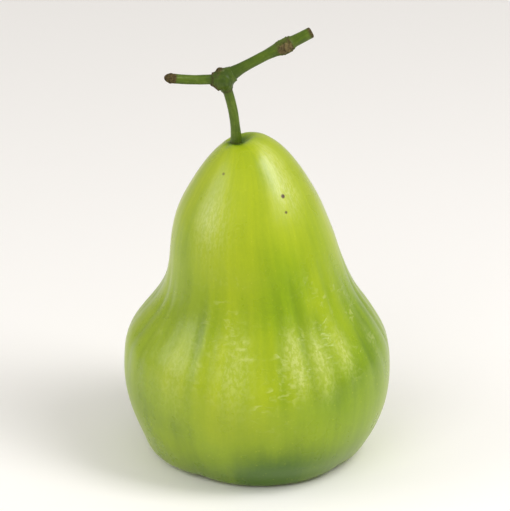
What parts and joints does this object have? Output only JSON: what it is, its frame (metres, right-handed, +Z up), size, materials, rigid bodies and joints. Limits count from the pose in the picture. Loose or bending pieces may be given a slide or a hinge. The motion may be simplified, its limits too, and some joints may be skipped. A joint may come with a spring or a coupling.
{
  "type": "rose apple",
  "caption": "Fresh bell-shaped rose apple standing on its calyx lobes, with its stalk and a short forked piece of twig.",
  "frame": {"origin": "on the surface that the fruit stands on, under the middle of its widest ring", "axes": "+Z up from the calyx to the stalk, -Y the front, +X towards the side that the twig points to"},
  "size_m": [0.0605, 0.0604, 0.1052],
  "materials": {
    "skin": "waxy glossy yellow-green fruit skin over juicy white flesh",
    "stalk": "smooth young green bark, slightly waxy",
    "bark": "young green bark with brown scars",
    "side_stalk": "smooth young green bark with a dried dark tip",
    "dry_bud": "dry brown scales, matt",
    "stamens": "dry brown fibres, matt",
    "style": "dry tan fibre, matt"
  },
  "bodies": {
    "root": {"fruit": "skin", "fruit_stalk": "stalk", "twig": "bark", "side_stalk": "side_stalk", "dry_bud": "dry_bud", "stamen_ring": "stamens", "style": "style"}
  },
  "joints": []
}
